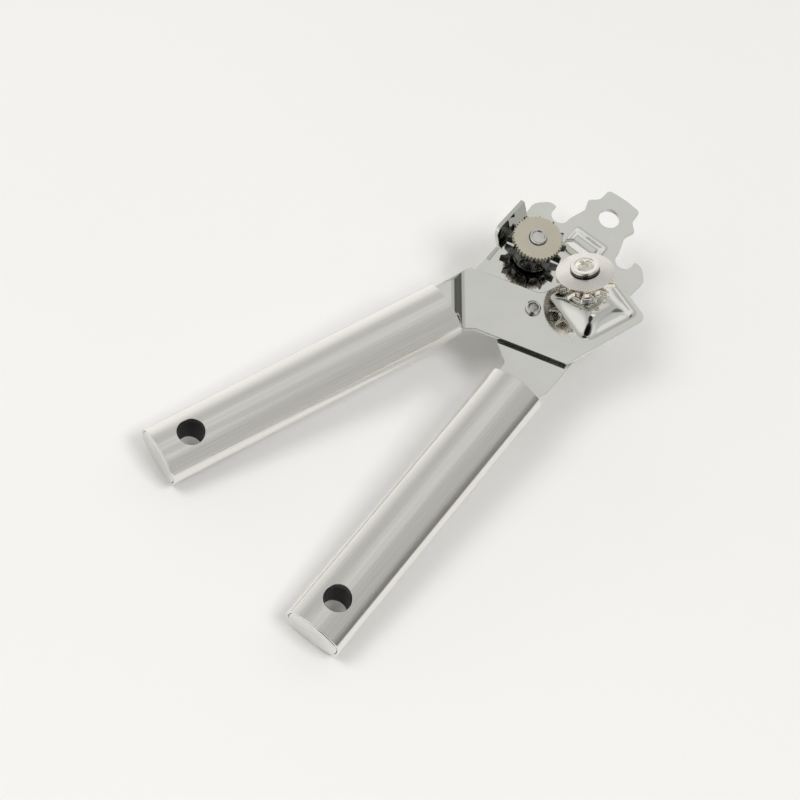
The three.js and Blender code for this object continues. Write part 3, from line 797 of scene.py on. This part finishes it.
def grip_section():
    """Even points round the handle's section, from the middle of its -X side."""
    w, h = CREASE
    crown, bulge = 2 * CROWN - h, 2 * HALF_WIDTH - w
    dense = np.vstack([
        bezier((-w, h), (0, crown), (w, h), 400), bezier((w, h), (bulge, 0), (w, -h), 200),
        bezier((w, -h), (0, -crown), (-w, -h), 400), bezier((-w, -h), (-bulge, 0), (-w, h), 200),
    ])
    side = np.linalg.norm(np.roll(dense, -1, axis=0) - dense, axis=1)
    along = np.concatenate([[0], np.cumsum(side)])
    closed = np.vstack([dense, dense[:1]])
    total = along[-1]
    even = np.linspace(0, total, SECTION_POINTS, endpoint=False)
    points = np.column_stack([np.interp(even, along, closed[:, k]) for k in (0, 1)])
    reach = CREASE_SOFTNESS / (total / SECTION_POINTS)
    offsets = np.arange(-int(3 * reach), int(3 * reach) + 1)
    weights = np.exp(-0.5 * (offsets / reach) ** 2)
    weights /= weights.sum()
    smooth = sum(wt * np.roll(points, off, axis=0) for wt, off in zip(weights, offsets))
    start = int(np.argmin(np.abs(smooth[:, 1]) + (smooth[:, 0] > 0) * 99))
    return np.roll(smooth, -start, axis=0)


def section_measures(section):
    """The closed section, the distance round it to each point and the outward normals."""
    closed = np.vstack([section, section[:1]])
    side = np.linalg.norm(np.diff(closed, axis=0), axis=1)
    tangent = np.roll(section, -1, axis=0) - np.roll(section, 1, axis=0)
    tangent /= np.linalg.norm(tangent, axis=1)[:, None]
    outward = np.column_stack([-tangent[:, 1], tangent[:, 0]])
    return closed, np.concatenate([[0], np.cumsum(side)]), np.vstack([outward, outward[:1]])


SECTION = grip_section()
SECTION_CLOSED, SECTION_ALONG, SECTION_NORMAL = section_measures(SECTION)
GIRTH = SECTION_ALONG[-1]


def on_grip(points):
    """Wraps (distance round the section, distance along the handle) onto the tube."""
    u = np.clip(points[:, 0], 0, GIRTH)
    x = np.interp(u, SECTION_ALONG, SECTION_CLOSED[:, 0])
    z = np.interp(u, SECTION_ALONG, SECTION_CLOSED[:, 1])
    nx = np.interp(u, SECTION_ALONG, SECTION_NORMAL[:, 0])
    nz = np.interp(u, SECTION_ALONG, SECTION_NORMAL[:, 1])
    length = np.hypot(nx, nz)
    normals = np.column_stack([nx / length, np.zeros_like(u), nz / length])
    return np.column_stack([x, -points[:, 1], z]), normals


def grip_hole(radius, top):
    """The hang hole's edge on the unrolled tube."""
    edge = circle(0, HANG_HOLE_Y, radius, 56)
    side = SECTION_CLOSED[:, 1] > 0 if top else SECTION_CLOSED[:, 1] < 0
    order = np.argsort(SECTION_CLOSED[side, 0])
    u = np.interp(edge[:, 0], SECTION_CLOSED[side, 0][order], SECTION_ALONG[side][order])
    return np.column_stack([u, -edge[:, 1]])


def section_loop(by):
    """Every eighth point of the section, moved inwards."""
    return (SECTION - SECTION_NORMAL[:-1] * by)[::8]


def build_handle(side, place, body):
    first, last = SEAM, GIRTH - SEAM
    rectangle = np.array(
        [(first, v) for v in np.linspace(0, HANDLE_LENGTH, 28, endpoint=False)]
        + [(u, HANDLE_LENGTH) for u in np.linspace(first, last, 90, endpoint=False)]
        + [(last, v) for v in np.linspace(HANDLE_LENGTH, 0, 28, endpoint=False)]
        + [(u, 0) for u in np.linspace(last, first, 90, endpoint=False)]
    )
    loops = [rectangle, grip_hole(HANG_HOLE_RADIUS, True), grip_hole(HANG_HOLE_RADIUS, False)]
    mesh = sheet_mesh(loops, on_grip, WALL, edge=0.2, spacing=(0.62, 3.4), everywhere=True)
    mesh_piece(
        f"{side}_handle_tube", *mesh, place, body, "handle_steel", BRUSHED,
        [f"{side}_handle_shell"],
    )
    outline = section_loop(WALL + CAP_GAP)
    mesh = sheet_mesh([outline], flat(0), CAP_THICKNESS, edge=0.45, turns=4)
    upright = shift(0, -HANDLE_LENGTH - CAP_PROUD) @ Matrix.Rotation(radians(90), 4, "X")
    mesh_piece(
        f"{side}_handle_cap", *mesh, place @ upright, body, "polished_steel", POLISHED,
        [f"{side}_end_cap"],
    )


# ------------------------------------------------------------------ pivot and feed drive

DRIVE_BORE = 3.05
SHAFT_TAIL = -11.1


def turned_piece(name, corners, place, body, slot, material, replaced, sides=64):
    mesh_piece(name, *turned_mesh(corners, sides), place, body, slot, material, [replaced])


def build_pivot():
    top, below = UPPER_TOP + 0.1, -SHEET - 0.15
    corners = [
        (1.45, below - 0.8, 0.15), (3.0, below - 0.8, 0.3), (3.0, below, 0.1), (2.0, below, 0.1),
        (2.0, top, 0.05), (2.65, top, 0.1), (2.65, top + 0.75, 0.35), (2.1, top + 1.25, 0.3),
        (1.75, top + 1.2, 0.2), (1.45, top + 0.6, 0.2),
    ]
    turned_piece(
        "pivot_collar", corners, PIN, "lower_arm", "hardware_steel", BRIGHT_STEEL, "pivot_rivet"
    )


def toothed(teeth, tip, root, tip_share, root_share, rounding=(0.0, 0.0), phase=0.0):
    """Outline of a wheel whose teeth take these shares of the pitch at tip and root."""
    corners = []
    pitch = 2 * pi / teeth
    for tooth in range(teeth):
        middle = tooth * pitch + radians(phase)
        for radius, share, rounded_by in (
            (root, -root_share / 2, rounding[1]), (tip, -tip_share / 2, rounding[0]),
            (tip, tip_share / 2, rounding[0]), (root, root_share / 2, rounding[1]),
        ):
            angle = middle + share * pitch
            corners.append((radius * cos(angle), radius * sin(angle), rounded_by))
    return rounded(corners, 25.0)


def build_feed_drive():
    wheel = toothed(44, 8.5, 7.95, 0.2, 0.8, (0.06, 0.06))
    mesh = sheet_mesh([wheel, circle(0, 0, DRIVE_BORE)], flat(10.3), 1.95, edge=0.14)
    mesh_piece(
        "feed_wheel_disc", *mesh, DRIVE, "feed_drive", "nickel_plate", NICKEL, ["feed_wheel"]
    )

    gear = toothed(12, 10.1, 7.1, 0.1, 0.5, (0.15, 0.3))
    mesh = sheet_mesh([gear, circle(0, 0, DRIVE_BORE)], flat(8.05), 3.25, edge=0.22)
    mesh_piece(
        "feed_gear_teeth", *mesh, DRIVE, "feed_drive", "hardened_steel", SHADE_PAINTED_STEEL, ["feed_gear"]
    )

    shaft = [
        (0, SHAFT_TAIL), (2.5, SHAFT_TAIL, 0.3), (2.9, SHAFT_TAIL + 0.4, 0.2), (2.9, 10.75, 0.3),
        (2.6, 11.3, 0.2), (2.2, 11.3, 0.15), (2.0, 10.75, 0.15), (0, 10.8),
    ]
    turned_piece(
        "feed_shaft_peened", shaft, DRIVE, "feed_drive", "hardware_steel", BRIGHT_STEEL,
        "feed_shaft",
    )

    bushing = [
        (3.0, -1.8, 0.1), (4.4, -1.8, 0.15), (4.4, 0.3, 0.1), (6.6, 0.3, 0.15), (6.6, 1.3, 0.3),
        (5.4, 3.9, 0.4), (3.0, 3.9, 0.1),
    ]
    turned_piece(
        "feed_bushing_turned", bushing, DRIVE, "lower_arm", "hardened_steel", SHADE_PAINTED_STEEL,
        "feed_bushing",
    )

    ring = [(3.2, -3.0, 0.1), (6.4, -3.0, 0.25), (6.4, -2.1, 0.25), (3.2, -2.1, 0.1)]
    turned_piece(
        "friction_ring", ring, DRIVE, "lower_arm", "hardware_steel", BRIGHT_STEEL,
        "friction_washer",
    )


def build_key():
    hub, top, bottom, reach, waist = 5.2, -4.6, -26.0, 22.0, -20.5
    half = 1.2
    pin_drop = 3.6
    wing = [
        (hub - 0.6, top, 0.3), (6, top - 7, 3), (reach, top - 1.5, 7), (reach, bottom, 7.5),
        (8.5, bottom, 4),
    ]
    other = [(-x, z, r) for x, z, r in wing][::-1]
    outline = rounded(wing + [(0, waist, 5)] + other, 7.0)

    def upright(points):
        count = len(points)
        place = np.column_stack([np.full(count, half), points[:, 0], points[:, 1]])
        return place, np.tile((1.0, 0.0, 0.0), (count, 1))

    wings = sheet_mesh([outline], upright, 2 * half, edge=0.7, turns=5)
    barrel = turned_mesh([
        (DRIVE_BORE, top - 7, 0.1), (DRIVE_BORE, top + 1.3, 0.1), (hub, top + 1.3, 0.3),
        (hub, top - 8, 0.8), (0, top - 8), (0, top - 7),
    ])
    mesh_piece(
        "crank_key_wings", *joined(wings, barrel), KEY, "feed_drive", "polished_steel", POLISHED,
        ["crank_key"],
    )
    pin = [(0, 3.2), (1.0, 3.2, 0.1), (1.0, hub + 0.3, 0.3), (0, hub + 0.4)]
    for name, angle in (("left", 180), ("right", 0)):
        around = Matrix.Rotation(radians(angle), 4, "Z")
        place = KEY @ shift(0, 0, top - pin_drop) @ around @ Matrix.Rotation(pi / 2, 4, "Y")
        turned_piece(
            f"crank_pin_{name}_peg", pin, place, "feed_drive", "hardware_steel", BRIGHT_STEEL,
            f"crank_pin_{name}", 32,
        )


# ------------------------------------------------------------------ cutter stack

SLEEVE_BORE = 2.05
WHEEL_BORE = 3.1
SCREW_HEAD = {"radius": 4.8, "base": 1.75, "rim": 2.88, "crown": 3.45, "fall": 0.075}
SCREW_RING = {"radius": 3.2, "width": 0.22, "depth": 0.16}
CROSS = {"reach": 2.3, "half": 0.5, "taper": 0.25, "fold": 0.4, "wall": 0.7, "depth": 1.6}
SHANK = {"radius": 1.95, "tail": -13.8, "point": 1.55}


def screw_dome(x, y):
    """The screw head's top: a flat rim, a low dome and the cross recess."""
    r = np.hypot(x, y)
    dome = SCREW_HEAD["crown"] - SCREW_HEAD["fall"] * r * r
    rim = np.full_like(r, SCREW_HEAD["rim"])
    from_ring = (r - SCREW_RING["radius"]) / SCREW_RING["width"]
    groove = SCREW_RING["depth"] * np.exp(-(from_ring**2))
    reach, half, taper = CROSS["reach"], CROSS["half"], CROSS["taper"]
    arm_x = np.maximum(np.abs(x) - reach + taper * np.abs(y), np.abs(y) - half)
    arm_y = np.maximum(np.abs(y) - reach + taper * np.abs(x), np.abs(x) - half)
    cross = smooth_min(arm_x, arm_y, CROSS["fold"])
    depth = CROSS["depth"] * eased(0.5 - cross / CROSS["wall"])
    return smooth_max(dome, rim, 0.12) - groove - depth


def build_cutter():
    disc = [
        (WHEEL_BORE, -0.75, 0.08), (8.3, -0.75, 0.2), (9.7, -0.25, 0.04), (9.7, -0.1, 0.04),
        (5.2, 0.75, 1.5), (WHEEL_BORE, 0.75, 0.08),
    ]
    turned_piece(
        "cutter_wheel_disc", disc, STACK, "cutter", "nickel_plate", CUTTER_STEEL,
        "cutter_wheel", 96,
    )

    gear = toothed(12, 9.8, 6.8, 0.16, 0.5, (0.55, 0.7), 13)
    teeth = sheet_mesh([gear, circle(0, 0, WHEEL_BORE)], flat(-3.8), 2.1, edge=0.4, turns=4)
    neck = turned_mesh([
        (WHEEL_BORE, -4.3, 0.08), (4.6, -4.3, 0.1), (4.6, -1.05, 0.15), (WHEEL_BORE, -1.05, 0.08),
    ])
    mesh_piece(
        "cutter_gear_lobes", *joined(teeth, neck), STACK, "cutter", "polished_steel", GEAR_STEEL,
        ["cutter_gear"],
    )

    def hardware(name, corners, replaced, slot="hardware_steel", material=BRIGHT_STEEL):
        turned_piece(name, corners, STACK, "upper_arm", slot, material, replaced)

    hardware("cutter_sleeve_tube", [
        (SLEEVE_BORE, -6.15, 0.05), (3.0, -6.15, 0.05), (3.0, 0.95, 0.05),
        (SLEEVE_BORE, 0.95, 0.05),
    ], "cutter_sleeve")
    hardware("cutter_collar_ring", [
        (SLEEVE_BORE, 1.05, 0.05), (4.9, 1.05, 0.15), (4.9, 1.65, 0.15),
        (SLEEVE_BORE, 1.65, 0.05),
    ], "cutter_collar", "hardened_steel", SHADE_PAINTED_STEEL)

    head = sheet_mesh(
        [circle(0, 0, SCREW_HEAD["radius"], 72)], raised(screw_dome), floor=SCREW_HEAD["base"],
        edge=0.32, spacing=(0.14, 0.14), turns=4,
    )
    radius, tail = SHANK["radius"], SHANK["tail"]
    shank = turned_mesh([
        (0, tail), (SHANK["point"], tail, 0.2), (radius, tail + 0.4, 0.1), (radius, 1.8, 0.1),
        (0, 1.8),
    ])
    mesh_piece(
        "cutter_screw_cross", *joined(head, shank), STACK, "upper_arm", "nickel_plate",
        SCREW_NICKEL, ["cutter_screw"],
    )

    hardware("seat_spacer", [
        (SLEEVE_BORE, -10.19, 0.1), (4.9, -10.19, 0.2), (4.9, -9.5, 0.2), (4.3, -9.2, 0.3),
        (4.3, -7.1, 0.3), (6.6, -6.95, 0.25), (6.6, -6.23, 0.2), (SLEEVE_BORE, -6.23, 0.1),
    ], "seat_washer")
    hardware("lock_ring", [
        (SLEEVE_BORE, -12.32, 0.1), (3.4, -12.32, 0.15), (3.4, -11.82, 0.15),
        (SLEEVE_BORE, -11.82, 0.1),
    ], "lock_washer")

    corner = 3.2
    hexagon = rounded([
        (corner * cos(pi / 3 * k), corner * sin(pi / 3 * k), 0.3) for k in range(6)
    ])
    mesh = sheet_mesh([hexagon, circle(0, 0, SLEEVE_BORE, 32)], flat(-12.42), 1.2, edge=0.25)
    mesh_piece(
        "cutter_nut_hexagon", *mesh, STACK, "upper_arm", "hardware_steel", BRIGHT_STEEL,
        ["cutter_nut"],
    )


build_lower_plate()
build_upper_plate()
build_handle("lower", LOWER_GRIP, "lower_arm")
build_handle("upper", UPPER_GRIP, "upper_arm")
build_pivot()
build_feed_drive()
build_key()
build_cutter()
for name in ("lower_handle_core", "upper_handle_core"):
    node = frame["nodes"][name]
    node.data.materials.clear()
    node.data.materials.append(FILLER)


# ------------------------------------------------------------------ stage, light, camera

FLOOR_DARK = (0.835, 0.83, 0.82)
FLOOR_LIGHT = (0.85, 0.845, 0.836)


def build_floor():
    """The pale floor, 6.4 metres across."""
    half, steps = 3.2, 8
    points = np.linspace(-half, half, steps + 1)
    verts = [(x, y, 0.0) for y in points for x in points]
    faces = []
    for j in range(steps):
        for i in range(steps):
            a = j * (steps + 1) + i
            faces.append((a, a + 1, a + steps + 2, a + steps + 1))
    mesh = bpy.data.meshes.new("floor")
    mesh.from_pydata(verts, [], faces)
    material, shader = new_metal("pale_floor", 0.0)
    links = material.node_tree.links
    even = coordinates(material, (1, 1, 1))
    cloud = noise(material, even, 3, 2)
    links.new(tinted(material, cloud, FLOOR_DARK, FLOOR_LIGHT), shader.inputs["Base Color"])
    shader.inputs["Roughness"].default_value = 0.7
    mesh.materials.append(material)
    floor = bpy.data.objects.new("floor", mesh)
    bpy.context.scene.collection.objects.link(floor)


def soft_light(name, direction, distance, size, power, color=(1, 1, 1), aim=(0.0, 0.01, 0.02)):
    """A square lamp in a direction of the tool frame; the world gives the reflections."""
    data = bpy.data.lights.new(name, "AREA")
    data.shape = "RECTANGLE"
    data.size = data.size_y = size
    data.energy = power
    data.color = color
    lamp = bpy.data.objects.new(name, data)
    lamp.visible_glossy = False
    toward = (TOOL.to_3x3() @ Vector(direction)).normalized()
    lamp.location = Vector(aim) + toward * distance
    lamp.rotation_euler = toward.to_track_quat("Z", "Y").to_euler()
    bpy.context.scene.collection.objects.link(lamp)


def zone_factor(nodes, links, vector, direction, inner, outer, level):
    """1 away from a direction of the tool frame, changing to level towards it."""
    toward = (TOOL.to_3x3() @ Vector(direction)).normalized()
    dot = nodes.new("ShaderNodeVectorMath")
    dot.operation = "DOT_PRODUCT"
    dot.inputs[1].default_value = toward
    links.new(vector, dot.inputs[0])
    fall = nodes.new("ShaderNodeMapRange")
    fall.interpolation_type = "SMOOTHSTEP"
    fall.inputs["From Min"].default_value = cos(radians(outer))
    fall.inputs["From Max"].default_value = cos(radians(inner))
    fall.inputs["To Min"].default_value = 1.0
    fall.inputs["To Max"].default_value = level
    links.new(dot.outputs["Value"], fall.inputs["Value"])
    return fall.outputs["Result"]


# Zones of the studio: direction, inner and outer angle, and how bright against the rest.
ZONES = [
    ((0.22, -0.42, 0.88), 13, 19, 0.08),
    ((0.45, -0.80, 0.45), 16, 28, 0.08),
    ((0.52, -0.85, 0.10), 28, 42, 0.08),
    ((0.80, 0.42, 0.42), 9, 17, 0.28),
    ((-0.78, 0.02, 0.61), 7, 14, 0.2),
    ((0.22, 0.0, 0.98), 6, 13, 1.9),
    ((-0.18, 0.425, 0.887), 8, 20, 1.36),
    ((-0.75, 0.62, 0.20), 12, 26, 1.2),
    ((0.95, 0.10, 0.22), 10, 24, 0.7),
]


# How bright the studio is from the horizon (0) to straight overhead (1).
STUDIO_LEVELS = [(0.0, 0.88), (0.25, 0.84), (0.62, 0.53), (1.0, 0.49)]
STUDIO_TINT = (1.0, 0.998, 0.975)


def build_world():
    world = bpy.data.worlds.new("studio")
    bpy.context.scene.world = world
    world.use_nodes = True
    nodes, links = world.node_tree.nodes, world.node_tree.links
    place = nodes.new("ShaderNodeTexCoord")
    split = nodes.new("ShaderNodeSeparateXYZ")
    ramp = nodes.new("ShaderNodeValToRGB")
    links.new(place.outputs["Generated"], split.inputs["Vector"])
    links.new(split.outputs["Z"], ramp.inputs["Fac"])
    elements = ramp.color_ramp.elements
    elements[0].position, elements[1].position = STUDIO_LEVELS[0][0], STUDIO_LEVELS[-1][0]
    for position, _ in STUDIO_LEVELS[1:-1]:
        elements.new(position)
    for element, (_, level) in zip(elements, STUDIO_LEVELS):
        element.color = (*(level * part for part in STUDIO_TINT), 1)
    shade = ramp.outputs["Color"]
    for zone in ZONES:
        factor = zone_factor(nodes, links, place.outputs["Generated"], *zone)
        dimmed = nodes.new("ShaderNodeVectorMath")
        dimmed.operation = "SCALE"
        links.new(shade, dimmed.inputs[0])
        links.new(factor, dimmed.inputs["Scale"])
        shade = dimmed.outputs["Vector"]
    links.new(shade, nodes["Background"].inputs["Color"])
    nodes["Background"].inputs["Strength"].default_value = 1.0


def build_camera():
    """The photograph's viewpoint, from its angles to the plates."""
    elevation, heading, roll = radians(62.51), radians(112.97), radians(16.3)
    distance = 653.46 * MM
    target = Vector((-13.576, -56.061, 0.0)) * MM
    ahead = Vector((cos(heading), sin(heading), 0))
    forward = ahead * cos(elevation) - Vector((0, 0, sin(elevation)))
    level = Vector((forward.y, -forward.x, 0)).normalized()
    up = level.cross(forward)
    right = level * cos(roll) + up * sin(roll)
    top = up * cos(roll) - level * sin(roll)
    axes = Matrix((right, top, -forward)).transposed().to_4x4()
    data = bpy.data.cameras.new("camera")
    data.lens = 91.17
    data.sensor_width = 36.0
    data.clip_start = 0.01
    camera = bpy.data.objects.new("camera", data)
    camera.matrix_world = TOOL @ Matrix.Translation(target - forward * distance) @ axes
    bpy.context.scene.collection.objects.link(camera)
    bpy.context.scene.camera = camera


build_floor()
build_world()
soft_light("key", (-0.42, -0.30, 1.0), 1.9, 0.8, 12.0, (1.0, 0.995, 0.985))
soft_light("top", (0.50, 0.10, 1.0), 1.9, 0.7, 13.0)
build_camera()
bpy.context.scene.view_settings.view_transform = "Standard"
